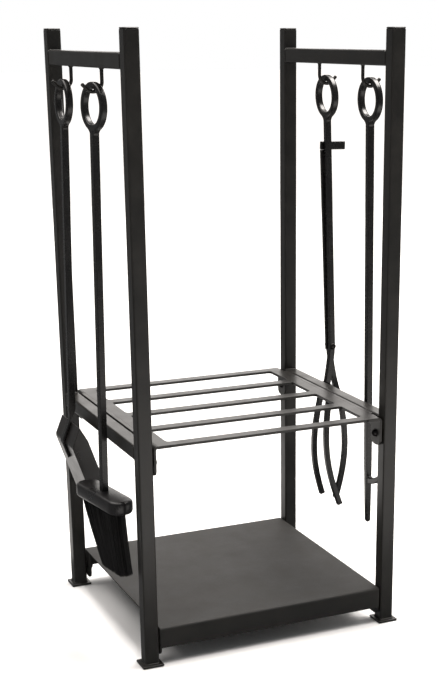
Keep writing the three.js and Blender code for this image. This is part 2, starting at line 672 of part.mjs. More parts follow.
/** The fork: a bridge across the fixed bar's foot with two prongs that spread apart. */
function tongsFork() {
  const prongs = [-1, 1].map((s) =>
    barAlong(
      jawLine(FORK_DROP, JAW_LENGTH, -1, FORK_TIP_OFFSET, 16, (drop) => {
        const t = (drop - FORK_DROP) / (JAW_LENGTH - FORK_DROP);
        return (s * THREE.MathUtils.lerp(FORK_TOP_SPACING, FORK_TIP_SPACING, t)) / 2;
      }),
      PRONG_BAR
    )
  );
  const [root] = jawLine(FORK_DROP, JAW_LENGTH, -1, FORK_TIP_OFFSET, 1);
  const bridge = new THREE.BoxGeometry(PRONG_BAR, FORK_TOP_SPACING + PRONG_BAR, PRONG_BAR);
  return join(bridge.translate(root.x, 0, root.z), ...prongs);
}
addMesh(tongs, "tongs_fork", tongsFork(), toolBlack());

/** The moving arm: a flat bar behind the shaft, which becomes the single jaw below the rivet. */
function tongsArm() {
  const plate = new THREE.Shape([
    new THREE.Vector2(-ARM_PIVOT_WIDTH / 2, pivotZ - ARM_PIVOT_WIDTH / 2),
    new THREE.Vector2(ARM_PIVOT_WIDTH / 2, pivotZ - ARM_PIVOT_WIDTH / 2),
    new THREE.Vector2(ARM_TOP_WIDTH / 2, pivotZ + ARM_LENGTH),
    new THREE.Vector2(-ARM_TOP_WIDTH / 2, pivotZ + ARM_LENGTH),
  ]);
  const upper = extrudeAcross(plate, ARM_THICKNESS).translate(0, armY, 0);
  const jawY = armY + (PRONG_BAR - ARM_THICKNESS) / 2;
  const line = jawLine(0, JAW_LENGTH, 1, ARM_TIP_OFFSET, 22, (drop) => {
    const jog = THREE.MathUtils.smoothstep(drop, JAW_JOG_START, JAW_JOG_END);
    return jawY * (1 - jog);
  });
  const jaw = barAlong(line, PRONG_BAR);
  const hole = pinAlongY(rivetHole, 8 * ARM_THICKNESS).translate(0, armY, pivotZ);
  return cut(join(upper, jaw), hole);
}
addMesh(tongs, "tongs_arm", tongsArm(), toolBlack());

/** The thumb lever: a rounded bar across the top of the moving arm, longer on the outer side. */
function thumbLever() {
  const lever = extrudeAcross(roundedRectangle(LEVER_REACH, LEVER_HEIGHT, 2), ARM_THICKNESS);
  const x = LEVER_REACH / 2 - ARM_TOP_WIDTH / 2;
  const rise = FIT_GAP + LEVER_HEIGHT / 2 + x * Math.sin(radians(LEVER_TILT));
  return lever.rotateY(radians(LEVER_TILT)).translate(x, armY, pivotZ + ARM_LENGTH + rise);
}
addMesh(tongs, "tongs_lever", thumbLever(), toolBlack());

/** The rivet along Y, with a domed head on each side. */
function rivet() {
  const front = -TONGS_BAR / 2 - FIT_GAP;
  const back = armY + PRONG_BAR - ARM_THICKNESS / 2 + FIT_GAP;
  const domeSteps = 4;
  const head = Array.from({ length: domeSteps + 1 }, (_, i) => {
    const angle = (i / domeSteps) * (Math.PI / 2);
    return [RIVET_HEAD_RADIUS * Math.sin(angle), RIVET_HEAD_HEIGHT * Math.cos(angle)];
  });
  const profile = [
    ...head.map(([r, h]) => new THREE.Vector2(r, front - h)),
    new THREE.Vector2(RIVET_RADIUS, front),
    new THREE.Vector2(RIVET_RADIUS, back),
    ...head.reverse().map(([r, h]) => new THREE.Vector2(r, back + h)),
  ];
  return new THREE.LatheGeometry(profile, 20).translate(0, 0, pivotZ);
}
addMesh(tongs, "tongs_rivet", rivet(), zincBlack());

// ---------- origin ----------

rack.updateMatrixWorld(true);
const box = new THREE.Box3().setFromObject(rack, true);
rack.position.set(-(box.min.x + box.max.x) / 2, -(box.min.y + box.max.y) / 2, -box.min.z);
rack.updateMatrixWorld(true);

export default rack;
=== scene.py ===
"""Firewood log rack with four hanging fire tools: the looks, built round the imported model."""

import json
import math

import bpy
import numpy as np
from mathutils import Matrix, Vector


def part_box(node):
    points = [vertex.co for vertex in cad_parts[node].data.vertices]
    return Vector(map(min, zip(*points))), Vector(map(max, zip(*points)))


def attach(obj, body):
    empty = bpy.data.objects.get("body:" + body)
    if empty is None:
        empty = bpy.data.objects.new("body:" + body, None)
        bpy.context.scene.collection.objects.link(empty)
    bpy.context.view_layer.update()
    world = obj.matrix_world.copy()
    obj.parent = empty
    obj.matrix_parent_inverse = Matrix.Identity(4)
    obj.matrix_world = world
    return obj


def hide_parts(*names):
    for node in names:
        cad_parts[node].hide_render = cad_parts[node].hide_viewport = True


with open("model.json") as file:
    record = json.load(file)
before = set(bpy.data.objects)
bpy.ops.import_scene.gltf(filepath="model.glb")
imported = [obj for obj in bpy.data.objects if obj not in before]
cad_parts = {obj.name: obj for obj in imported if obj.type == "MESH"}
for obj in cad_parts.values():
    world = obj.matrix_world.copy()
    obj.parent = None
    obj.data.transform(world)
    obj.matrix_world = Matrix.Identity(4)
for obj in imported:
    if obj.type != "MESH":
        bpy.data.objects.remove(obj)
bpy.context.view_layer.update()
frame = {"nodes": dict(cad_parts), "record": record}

# ---------------------------------------------------------------------------------------------
# Posts, caps and foot plates
# Four posts of square steel tube with drawn, rounded corners. Each has a small plate welded
# under it and a flat cap on top, and the whole side frame is powder coated after welding.
# ---------------------------------------------------------------------------------------------

POST_CORNER = 2.8
POST_EASE = 0.5
FOOT_EASE = 0.8
FOOT_CORNER = 1.2
CAP_EASE = 1.5
EASE_RINGS = 4
SHARP_FROM = math.radians(38)
BEAD = 1.3
BEAD_PITCH = 3.2
SET_IN = 0.3
TUBE_SLACK = 0.1
AXIS_X = np.array([1.0, 0.0, 0.0])
AXIS_Y = np.array([0.0, 1.0, 0.0])
AXIS_Z = np.array([0.0, 0.0, 1.0])


def place(node):
    """Lowest and highest corner of a CAD node, in millimetres."""
    low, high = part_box(node)
    return np.array(low) * 1000, np.array(high) * 1000


def skin(rings, closed=False):
    """Quads between neighbouring rings, with an end face on the first and last unless closed.
    The volume is the sum of a . (b x c) / 6 over the faces; if it is negative they are turned."""
    count, around = rings.shape[:2]
    i = np.arange(count if closed else count - 1)[:, None]
    j = np.arange(around)[None, :]
    after = (i + 1) % count
    beside = (j + 1) % around
    quads = np.stack(
        [i * around + j, i * around + beside, after * around + beside, after * around + j], -1
    ).reshape(-1, 4)
    corners = rings.reshape(-1, 3)
    a, b, c, d = (corners[quads[:, k]] for k in range(4))
    volume = (a * np.cross(b, c)).sum() + (a * np.cross(c, d)).sum()
    faces = quads.tolist()
    if not closed:
        for ring, turned in ((rings[0], True), (rings[-1], False)):
            fan = (ring[0] * np.cross(ring[1:-1], ring[2:])).sum()
            volume += -fan if turned else fan
        faces.append(list(range(around))[::-1])
        faces.append(list(range((count - 1) * around, count * around)))
    if volume < 0:
        faces = [face[::-1] for face in faces]
    return corners, faces


def sweep(points, side, width, height, radius, ease=0.0, closed=False, steps=4):
    """A bar along points. Its section is a rectangle, width along side and height square to
    side and to the path, with corner arcs of the given radius. At each end the section is
    smaller by ease (1 - sin t) at a distance ease (1 - cos t) from the end."""
    points = np.asarray(points, float)
    width = np.broadcast_to(np.asarray(width, float), len(points))
    height = np.broadcast_to(np.asarray(height, float), len(points))
    inset = np.zeros(len(points))
    if closed:
        way = np.roll(points, -1, 0) - np.roll(points, 1, 0)
    else:
        way = np.gradient(points, axis=0)
    way = way / np.linalg.norm(way, axis=1)[:, None]
    if ease and not closed:
        turn = np.linspace(0, math.pi / 2, EASE_RINGS)
        back = ease * (1 - np.cos(turn))
        shrink = ease * (1 - np.sin(turn))
        first = points[0] + way[0] * back[:, None]
        last = points[-1] - way[-1] * back[::-1, None]
        points = np.concatenate([first, points[1:-1], last])
        copies = np.ones(len(way), int)
        copies[[0, -1]] = EASE_RINGS
        way = np.repeat(way, copies, 0)
        width = np.repeat(width, copies)
        height = np.repeat(height, copies)
        inset = np.concatenate([shrink, inset[1:-1], shrink[::-1]])
    other = np.cross(way, np.asarray(side, float))
    other = other / np.linalg.norm(other, axis=1)[:, None]
    across = np.cross(other, way)
    wide = (width - 2 * inset)[:, None]
    high = (height - 2 * inset)[:, None]
    corner = np.clip((radius - inset)[:, None], 0.02, np.minimum(wide, high) / 2)
    turn = (np.arange(4)[:, None] * math.pi / 2 + np.linspace(0, math.pi / 2, steps + 1)).ravel()
    left = np.repeat([1, -1, -1, 1], steps + 1)
    up = np.repeat([1, 1, -1, -1], steps + 1)
    a = (wide / 2 - corner) * left + corner * np.cos(turn)
    b = (high / 2 - corner) * up + corner * np.sin(turn)
    rings = points[:, None] + a[..., None] * across[:, None] + b[..., None] * other[:, None]
    return skin(rings, closed)


def piece(name, shells, body, material, slot, *nodes):
    """One object from closed shells in millimetres, riding on a body of the frame."""
    corners, faces, start = [], [], 0
    for shell_corners, shell_faces in shells:
        corners.append(shell_corners)
        faces += [[index + start for index in face] for face in shell_faces]
        start += len(shell_corners)
    mesh = bpy.data.meshes.new(name)
    mesh.from_pydata((np.concatenate(corners) / 1000).tolist(), [], faces)
    mesh.shade_smooth()
    mesh.set_sharp_from_angle(angle=SHARP_FROM)
    mesh.materials.append(material)
    made = bpy.data.objects.new(name, mesh)
    bpy.context.scene.collection.objects.link(made)
    even = made.modifiers.new("even_shading", "WEIGHTED_NORMAL")
    even.keep_sharp = True
    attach(made, body)
    if nodes:
        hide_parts(*nodes)
    return made


def moved(shell, matrix, origin):
    """A shell turned by a 3 by 3 matrix and then moved."""
    corners, faces = shell
    return corners @ matrix.T + origin, faces


def linear(hex_code):
    """An sRGB hex value as a linear colour: c / 12.92, or ((c + 0.055) / 1.055) ^ 2.4."""
    value = np.array([int(hex_code[k : k + 2], 16) / 255 for k in (1, 3, 5)])
    low = value / 12.92
    high = ((value + 0.055) / 1.055) ** 2.4
    return (*np.where(value <= 0.04045, low, high).tolist(), 1.0)


def add(tree, kind, links=None, **settings):
    """One node, with its settings, and its inputs set or linked."""
    made = tree.nodes.new(kind)
    for name, value in settings.items():
        setattr(made, name, value)
    for socket, source in (links or {}).items():
        if isinstance(source, bpy.types.NodeSocket):
            tree.links.new(source, made.inputs[socket])
        else:
            made.inputs[socket].default_value = source
    return made


def per_metre(millimetres):
    """How many features of a real size fit in a metre."""
    return 1000 / millimetres


def bare_material(name):
    """A new material, its emptied node tree, and the piece's own coordinates."""
    material = bpy.data.materials.new(name)
    material.use_nodes = True
    tree = material.node_tree
    tree.nodes.clear()
    return material, tree, add(tree, "ShaderNodeTexCoord").outputs["Object"]


def powder_coat(name, shade, worn, gloss, dull, peel_size=1.6, peel=0.035):
    """Polyester powder baked on steel: a hard satin film with a fine orange peel. It gives soft,
    broad highlights, and handling leaves patches that are a little duller and paler."""
    material, tree, where = bare_material(name)
    patches = add(
        tree,
        "ShaderNodeTexNoise",
        {"Vector": where, "Scale": per_metre(38), "Detail": 5.0, "Roughness": 0.6},
    )
    spots = add(
        tree,
        "ShaderNodeTexNoise",
        {"Vector": where, "Scale": per_metre(2.4), "Detail": 3.0, "Roughness": 0.7},
    )
    spread = add(
        tree,
        "ShaderNodeMapRange",
        {"Value": patches.outputs["Fac"], "From Min": 0.38, "From Max": 0.68},
    )
    colour = add(tree, "ShaderNodeMix", {"Factor": spread.outputs["Result"]}, data_type="RGBA")
    colour.inputs["A"].default_value = linear(shade)
    colour.inputs["B"].default_value = linear(worn)
    rough = add(
        tree,
        "ShaderNodeMapRange",
        {"Value": patches.outputs["Fac"], "From Min": 0.3, "From Max": 0.75,
         "To Min": gloss, "To Max": dull},
    )
    dusty = add(
        tree,
        "ShaderNodeMath",
        {0: spots.outputs["Fac"], 1: 0.10, 2: -0.05},
        operation="MULTIPLY_ADD",
    )
    total = add(
        tree, "ShaderNodeMath", {0: rough.outputs["Result"], 1: dusty.outputs[0]}, operation="ADD"
    )
    grain = add(
        tree,
        "ShaderNodeTexNoise",
        {"Vector": where, "Scale": per_metre(peel_size), "Detail": 2.0, "Roughness": 0.5},
    )
    bump = add(
        tree,
        "ShaderNodeBump",
        {"Height": grain.outputs["Fac"], "Strength": 0.5, "Distance": peel / 1000},
    )
    film = add(
        tree,
        "ShaderNodeBsdfPrincipled",
        {"Base Color": colour.outputs["Result"], "Roughness": total.outputs[0],
         "Normal": bump.outputs["Normal"], "IOR": 1.5},
    )
    add(tree, "ShaderNodeOutputMaterial", {"Surface": film.outputs["BSDF"]})
    return material


frame_coat = powder_coat("satin_powder_coat", "#171614", "#1f1d1a", 0.3, 0.42)
frame_slot = "frame_steel"


def outline(width, height, radius, count):
    """Evenly spaced points round a rectangle with corner arcs, about the origin."""
    turn = (np.arange(4)[:, None] * math.pi / 2 + np.linspace(0, math.pi / 2, 9)).ravel()
    x = (width / 2 - radius) * np.repeat([1, -1, -1, 1], 9) + radius * np.cos(turn)
    y = (height / 2 - radius) * np.repeat([1, 1, -1, -1], 9) + radius * np.sin(turn)
    ends = np.append(x, x[0]), np.append(y, y[0])
    run = np.append(0, np.cumsum(np.hypot(np.diff(ends[0]), np.diff(ends[1]))))
    at = np.arange(count) / count * run[-1]
    return np.interp(at, run, ends[0]), np.interp(at, run, ends[1])


def weld_bead(centre, normal, across, width, height, radius, bead=BEAD):
    """A fillet weld round a tube: a closed bead on the tube's outline. Its thickness swells and
    shrinks as 1 + 0.16 cos(2 pi s / pitch), one ripple for each dab of the torch."""
    up = np.cross(normal, across)
    count = 4 * int((width + height) / 2)
    a, b = outline(width, height, radius, count)
    points = centre + a[:, None] * across + b[:, None] * up
    run = np.arange(count) / count * 2 * (width + height)
    swell = 2 * bead * (1 + 0.16 * np.cos(2 * math.pi * run / BEAD_PITCH))
    return sweep(points, normal, swell, swell, bead, closed=True, steps=3)


CORNERS = [f"{end}_{side}" for end in ("front", "back") for side in ("left", "right")]
post_side = (place("post_front_left")[1] - place("post_front_left")[0])[0]
for corner in CORNERS:
    low, high = place(f"post_{corner}")
    centre = (low + high) / 2
    line = [[centre[0], centre[1], low[2]], [centre[0], centre[1], high[2]]]
    tube = sweep(line, AXIS_X, post_side, post_side, POST_CORNER, POST_EASE)
    piece(f"post_tube_{corner}", [tube], "rack", frame_coat, frame_slot, f"post_{corner}")

    low, high = place(f"post_cap_{corner}")
    line = [[centre[0], centre[1], low[2] - SET_IN], [centre[0], centre[1], high[2]]]
    cap_side = post_side - TUBE_SLACK
    cap = sweep(line, AXIS_X, cap_side, cap_side, POST_CORNER, CAP_EASE)
    piece(f"cap_{corner}", [cap], "rack", frame_coat, frame_slot, f"post_cap_{corner}")

    low, high = place(f"foot_plate_{corner}")
    line = [[centre[0], centre[1], low[2]], [centre[0], centre[1], high[2]]]
    size = high - low
    foot = sweep(line, AXIS_X, size[0], size[1], FOOT_CORNER, FOOT_EASE)
    seat = np.array([centre[0], centre[1], high[2] + 0.2])
    bead = weld_bead(seat, AXIS_Z, AXIS_X, post_side, post_side, POST_CORNER)
    piece(f"foot_{corner}", [foot, bead], "rack", frame_coat, frame_slot, f"foot_plate_{corner}")

# ---------------------------------------------------------------------------------------------
# Rails
# Each side frame has a top and a middle rail of the same square tube, cut square, set between
# the posts flush with their faces, and welded all round at both ends.
# ---------------------------------------------------------------------------------------------

RAIL_BEAD_INSET = 1.2
rail_side = post_side - TUBE_SLACK
bead_side = post_side - RAIL_BEAD_INSET
for level in ("top", "middle"):
    for side in ("left", "right"):
        low, high = place(f"{level}_rail_{side}")
        centre = (low + high) / 2
        ends = (low[1] - SET_IN, high[1] + SET_IN)
        line = [[centre[0], y, centre[2]] for y in ends]
        rail = sweep(line, AXIS_X, rail_side, rail_side, POST_CORNER)
        beads = [
            weld_bead(
                np.array([centre[0], y, centre[2]]), AXIS_Y, AXIS_X,
                bead_side, bead_side, POST_CORNER,
            )
            for y in (low[1], high[1])
        ]
        piece(
            f"rail_{level}_{side}", [rail, *beads], "rack", frame_coat, frame_slot,
            f"{level}_rail_{side}",
        )

# ---------------------------------------------------------------------------------------------
# Grate
# Five flat bars across two side flanges, cut from one steel plate so that the windows have
# rounded corners. Each corner of the plate is bent down into a tab that bolts to a post.
# ---------------------------------------------------------------------------------------------

GRATE_THICKNESS = 4.0
TAB_THICKNESS = 3.0
TAB_WIDTH = 27.0
TAB_BEND = 6.0
TAB_END = 9.0
WINDOW_CORNER = 5.0
PLATE_EDGE = 0.7
FLANGE_EDGE = 0.25
TAB_BENT_THICKNESS = TAB_THICKNESS + 0.6
FLUSH = 0.02
BAR_OVERLAP = 2.0
TAB_GAP = 1.0

flange_low, flange_high = place("grate_side_right")
grate_top = flange_high[2]
grate_mid = (place("grate_side_left")[0][0] + flange_high[0]) / 2
grate_half = flange_high[0] - grate_mid
flange_width = flange_high[0] - flange_low[0]
tab_foot = flange_low[2]


def tab_width(rise):
    """A tab's width at a height above its foot, where both corners are arcs of radius R:
    full width - 2 R + 2 sqrt(R^2 - d^2), with d = R - rise and not below nothing."""
    cut = np.clip(TAB_END - rise, 0, TAB_END)
    return TAB_WIDTH - 2 * TAB_END + 2 * np.sqrt(TAB_END**2 - cut**2)


def tab(edge, outward, y, top, foot, thickness):
    """A tab bent down from a plate's edge. Its middle line runs out, round the bend and down."""
    bend = TAB_BEND - thickness / 2
    turn = np.linspace(0, math.pi / 2, 9)
    out = edge - outward * TAB_BEND
    arc = np.stack([out + outward * bend * np.sin(turn), top - TAB_BEND + bend * np.cos(turn)], 1)
    drop = np.linspace(0, 1, 18) ** 0.6 * (top - TAB_BEND - foot)
    down = np.stack([np.full(18, edge - outward * thickness / 2), top - TAB_BEND - drop], 1)
    path = np.concatenate([arc, down[1:]])
    points = np.stack([path[:, 0], np.full(len(path), y), path[:, 1]], 1)
    return sweep(points, AXIS_Y, tab_width(path[:, 1] - foot), thickness, PLATE_EDGE)


def window_corner():
    """Distances d along a bar from a window's end, and the extra half-width that the window's
    rounded corner leaves there: R - sqrt(R^2 - (R - d)^2)."""
    near = WINDOW_CORNER * (1 - np.cos(np.linspace(0, math.pi / 2, 7)))
    extra = WINDOW_CORNER - np.sqrt(WINDOW_CORNER**2 - (WINDOW_CORNER - near) ** 2)
    return near, extra


tab_y = [flange_low[1] + TAB_WIDTH / 2, flange_high[1] - TAB_WIDTH / 2]
shells = []
near, extra = window_corner()
for number in range(1, 6):
    low, high = place(f"grate_bar_{number}")
    y = (low[1] + high[1]) / 2
    half = grate_half - flange_width
    reach = half + BAR_OVERLAP
    x = np.concatenate([[-reach], -half + near, half - near[::-1], [reach]]) + grate_mid
    grow = np.concatenate([extra[:1], extra, extra[::-1], extra[:1]])
    shift = np.zeros(len(x))
    width = np.full(len(x), high[1] - low[1]) + 2 * grow
    if number in (1, 5):
        inward = 1 if number == 1 else -1
        width = width - grow
        shift = inward * grow / 2
    z = grate_top - GRATE_THICKNESS / 2 - FLUSH
    points = np.stack([x, y + shift, np.full(len(x), z)], 1)
    straight = np.stack([x, np.full(len(x), y), np.full(len(x), z)], 1)
    corners, faces = sweep(straight, AXIS_Y, width, GRATE_THICKNESS - 2 * FLUSH, PLATE_EDGE)
    per_ring = len(corners) // len(x)
    corners = corners + np.repeat(points - straight, per_ring, 0)
    shells.append((corners, faces))
for outward in (-1, 1):
    edge = grate_mid + outward * grate_half
    inner = edge - outward * flange_width
    z = grate_top - GRATE_THICKNESS / 2
    bend_x = edge - outward * TAB_BEND
    middle = (inner + bend_x) / 2
    line = [[middle, flange_low[1], z], [middle, flange_high[1], z]]
    shells.append(sweep(line, AXIS_X, abs(bend_x - inner), GRATE_THICKNESS, FLANGE_EDGE))
    middle = (edge + bend_x) / 2
    clear = TAB_WIDTH / 2 + TAB_GAP
    line = [[middle, tab_y[0] + clear, z], [middle, tab_y[1] - clear, z]]
    shells.append(sweep(line, AXIS_X, TAB_BEND, GRATE_THICKNESS, FLANGE_EDGE))
    for y in tab_y:
        shells.append(tab(edge, outward, y, grate_top, tab_foot, TAB_BENT_THICKNESS))
grate_nodes = [f"grate_bar_{number}" for number in range(1, 6)]
grate_nodes += ["grate_side_left", "grate_side_right"]
piece("grate_plate", shells, "rack", frame_coat, frame_slot, *grate_nodes)

# ---------------------------------------------------------------------------------------------
# Shelf
# One sheet of steel with its front and back edges folded down into lips and a tab at each
# corner, bolted between the posts just above the feet.
# ---------------------------------------------------------------------------------------------

SHEET = 2.0
SHELF_BEND = 4.0
SHELF_LIP = 30.0
SHELF_SLACK = 0.6
SHEET_EDGE = 0.6
SHEET_EASE = 0.5
TAB_SETBACK = 2.0

low, high = place("shelf_panel")
shelf_top = high[2]
shelf_mid = (low[0] + high[0]) / 2
shelf_half = high[0] - shelf_mid
front, back = low[1], high[1]
bend = SHELF_BEND - SHEET / 2
turn = np.linspace(0, math.pi / 2, 9)
lip_foot = shelf_top - SHELF_LIP
front_arc = np.stack(
    [front + SHELF_BEND - bend * np.cos(turn), shelf_top - SHELF_BEND + bend * np.sin(turn)], 1
)
back_arc = np.stack([front + back - front_arc[::-1, 0], front_arc[::-1, 1]], 1)
fold = np.concatenate(
    [[[front + SHEET / 2, lip_foot]], front_arc, back_arc, [[back - SHEET / 2, lip_foot]]]
)
points = np.stack([np.full(len(fold), shelf_mid), fold[:, 0], fold[:, 1]], 1)
shells = [
    sweep(points, AXIS_X, 2 * shelf_half - SHELF_SLACK, SHEET, SHEET_EDGE, SHEET_EASE)
]
tab_inset = TAB_WIDTH / 2 + TAB_SETBACK
shelf_tab_y = [front + tab_inset, back - tab_inset]
for outward in (-1, 1):
    x = shelf_mid + outward * (shelf_half - TAB_THICKNESS / 2)
    for y in shelf_tab_y:
        rise = np.linspace(0, 1, 16) ** 1.6 * (shelf_top - SHEET - low[2])
        line = np.stack([np.full(16, x), np.full(16, y), low[2] + rise], 1)
        shells.append(sweep(line, AXIS_Y, tab_width(rise), TAB_THICKNESS, PLATE_EDGE))
shelf_coat = powder_coat("satin_powder_coat_sheet", "#161513", "#1f1d1a", 0.6, 0.72)
piece("shelf_sheet", shells, "rack", shelf_coat, frame_slot, "shelf_panel")

# ---------------------------------------------------------------------------------------------
# Bolts
# Eight flanged button-head bolts with a socket, black plated. Each goes through a tab into a
# threaded insert in the post.
# ---------------------------------------------------------------------------------------------

WASHER_RADIUS = 6.4
WASHER = 1.2
DOME_RADIUS = 5.2
DOME_RISE = 4.2
BOLT_HEAD = 5.8
SHANK_RADIUS = 2.9
WASHER_EASE = 0.3
SOCKET_RADIUS = 2.2
SOCKET_DEPTH = 2.2


def turned(stations, origin, way, across, sides=32):
    """A turned part: a ring of each radius at each distance along the axis."""
    distance, radius = np.array(stations, float).T
    other = np.cross(way, across)
    turn = np.linspace(0, 2 * math.pi, sides, endpoint=False)
    spoke = np.cos(turn)[:, None] * across + np.sin(turn)[:, None] * other
    rings = origin + distance[:, None, None] * way + radius[:, None, None] * spoke
    return skin(rings)


def black_plate(name, shade, rough):
    """Black zinc plate on steel: thin and smooth over turned metal, with fine machining lines
    blurred into a mottled roughness. It gives small, bright highlights."""
    material, tree, where = bare_material(name)
    mottle = add(
        tree, "ShaderNodeTexNoise", {"Vector": where, "Scale": per_metre(1.1), "Detail": 4.0}
    )
    uneven = add(
        tree,
        "ShaderNodeMapRange",
        {"Value": mottle.outputs["Fac"], "To Min": rough - 0.08, "To Max": rough + 0.12},
    )
    bump = add(
        tree,
        "ShaderNodeBump",
        {"Height": mottle.outputs["Fac"], "Strength": 0.4, "Distance": 0.02 / 1000},
    )
    plate = add(
        tree,
        "ShaderNodeBsdfPrincipled",
        {"Base Color": linear(shade), "Metallic": 1.0, "Roughness": uneven.outputs["Result"],
         "Normal": bump.outputs["Normal"]},
    )
    add(tree, "ShaderNodeOutputMaterial", {"Surface": plate.outputs["BSDF"]})
    return material


bolt_plate = black_plate("black_zinc_plate", "#3a3838", 0.28)
for level in ("grate", "shelf"):
    for corner in CORNERS:
        low, high = place(f"{level}_bolt_{corner}")
        centre = (low + high) / 2
        inward = AXIS_X if corner.endswith("left") else -AXIS_X
        length = (high - low)[0]
        tail = centre.copy()
        tail[0] -= inward[0] * length / 2
        head = length - BOLT_HEAD
        rise = np.linspace(0, 1, 7)
        dome_at = head + WASHER + DOME_RISE * np.sin(rise * 1.25) / math.sin(1.25)
        dome = list(zip(dome_at.tolist(), (DOME_RADIUS * np.cos(rise * 1.2)).tolist()))
        stations = [
            (0, 0.01), (0, SHANK_RADIUS - 0.5), (0.5, SHANK_RADIUS), (head - 0.2, SHANK_RADIUS),
            (head - 0.2, WASHER_RADIUS - WASHER_EASE), (head + 0.1, WASHER_RADIUS),
            (head + WASHER - WASHER_EASE, WASHER_RADIUS),
            (head + WASHER, WASHER_RADIUS - WASHER_EASE), *dome,
        ]
        top = dome[-1][0]
        socket = min(SOCKET_RADIUS, dome[-1][1] - 0.2)
        stations += [(top, socket + 0.15), (top - 0.15, socket), (top - SOCKET_DEPTH, socket)]
        stations += [(top - SOCKET_DEPTH, 0.01)]
        bolt = turned(stations, tail, inward, AXIS_Z)
        piece(
            f"bolt_{level}_{corner}", [bolt], "rack", bolt_plate, "fastener",
            f"{level}_bolt_{corner}",
        )

# ---------------------------------------------------------------------------------------------
# Hooks
# Four J hooks, one for each tool, bent from round steel rod. Each is butt welded under a
# top rail with its tip turned up and away from the rack, and is coated with the frame.
# ---------------------------------------------------------------------------------------------

HOOK_ROD = 4.8
HOOK_BEND = 12.0
HOOK_SHANK = 16.0
HOOK_TIP = 9.0
HOOK_OPENING = math.radians(45)
SMALL_BEAD = 0.9

for corner in CORNERS:
    low, high = place(f"hook_{corner}")
    outward = -1 if corner.endswith("left") else 1
    shank = low[0] + HOOK_ROD / 2 if outward > 0 else high[0] - HOOK_ROD / 2
    y = (low[1] + high[1]) / 2
    top = high[2]
    turn = math.pi + np.linspace(0, math.pi - HOOK_OPENING, 22)
    arc = np.stack([HOOK_BEND * (1 + np.cos(turn)), HOOK_BEND * np.sin(turn) - HOOK_SHANK], 1)
    run = np.linspace(0, HOOK_TIP, 5)[1:, None]
    tip = arc[-1] + run * [math.cos(HOOK_OPENING), math.sin(HOOK_OPENING)]
    stem = [[0, 0.3], [0, -HOOK_SHANK * 0.4], [0, -HOOK_SHANK * 0.8]]
    path = np.concatenate([stem, arc, tip])
    points = np.stack([shank + outward * path[:, 0], np.full(len(path), y), top + path[:, 1]], 1)
    rod = sweep(points, AXIS_Y, HOOK_ROD, HOOK_ROD, HOOK_ROD / 2, 1.2, steps=6)
    seat = np.array([shank, y, top])
    bead = weld_bead(seat, AXIS_Z, AXIS_X, HOOK_ROD, HOOK_ROD, HOOK_ROD / 2 - 0.01, SMALL_BEAD)
    piece(f"hook_rod_{corner}", [rod, bead], "rack", frame_coat, frame_slot, f"hook_{corner}")

# ---------------------------------------------------------------------------------------------
# Ring handles
# Each tool hangs from a ring bent from square bar with softened edges. The shaft is welded to
# the ring, and the weld is ground to a small flare before the tool is powder coated.
# ---------------------------------------------------------------------------------------------

RING_INNER = 22.0
RING_WALL = 8.3
RING_DEPTH = 9.5
TOOL_BAR = 9.5
BAR_EDGE = 1.1
RING_EDGE = 2.6
FLARE_SINK = 2.6
BAR_SINK = 1.5
FLARE_HEIGHT = 6.5
FLARE = 6.5
tool_coat = powder_coat("semi_gloss_powder_coat", "#100f0f", "#171615", 0.2, 0.34, 1.4, 0.03)


def hang(tool, lean, turn, outward):
    """A tool's place: the middle of its ring, and a matrix whose X points away from the rack,
    turned about Z and leaning about Y."""
    low, high = place(f"{tool}_ring")
    yaw = math.radians(turn) + (math.pi if outward < 0 else 0)
    tilt = -math.radians(lean)
    about_z = np.array(
        [[math.cos(yaw), -math.sin(yaw), 0], [math.sin(yaw), math.cos(yaw), 0], [0, 0, 1]]
    )
    about_y = np.array(
        [[math.cos(tilt), 0, math.sin(tilt)], [0, 1, 0], [-math.sin(tilt), 0, math.cos(tilt)]]
    )
    return about_z @ about_y, (low + high) / 2


turn = np.linspace(0, 2 * math.pi, 96, endpoint=False)
middle = RING_INNER + RING_WALL / 2
circle = np.stack([np.zeros(96), middle * np.sin(turn), middle * np.cos(turn)], 1)
ring_shell = sweep(circle, AXIS_X, RING_DEPTH, RING_WALL, RING_EDGE, closed=True, steps=6)
shaft_top = -RING_INNER - RING_WALL
fall = np.linspace(0, 1, 10)
flare_points = np.stack(
    [np.zeros(10), np.zeros(10), shaft_top + FLARE_SINK - fall * (FLARE_HEIGHT + FLARE_SINK)], 1
)
flare_width = TOOL_BAR - 0.3 + 2 * FLARE * (1 - fall) ** 2.2
flare_shell = sweep(flare_points, AXIS_X, TOOL_BAR - 0.5 - 0.6 * (1 - fall), flare_width, 1.4)
places = {
    "brush": hang("brush", 1.0, 9.0, -1),
    "shovel": hang("shovel", 1.4, 0.0, -1),
    "poker": hang("poker", 0.7, 0.0, 1),
    "tongs": hang("tongs", 1.75, 0.0, 1),
}
for tool, (matrix, origin) in places.items():
    shells = [moved(ring_shell, matrix, origin), moved(flare_shell, matrix, origin)]
    piece(f"handle_{tool}", shells, tool, tool_coat, "tool_steel", f"{tool}_ring")

# ---------------------------------------------------------------------------------------------
# Brush
# A square steel shaft set into a moulded head with rounded edges. The head is filled with rows
# of tufts of stiff black nylon bristle that sweep to one side and draw together at their tips.
# ---------------------------------------------------------------------------------------------

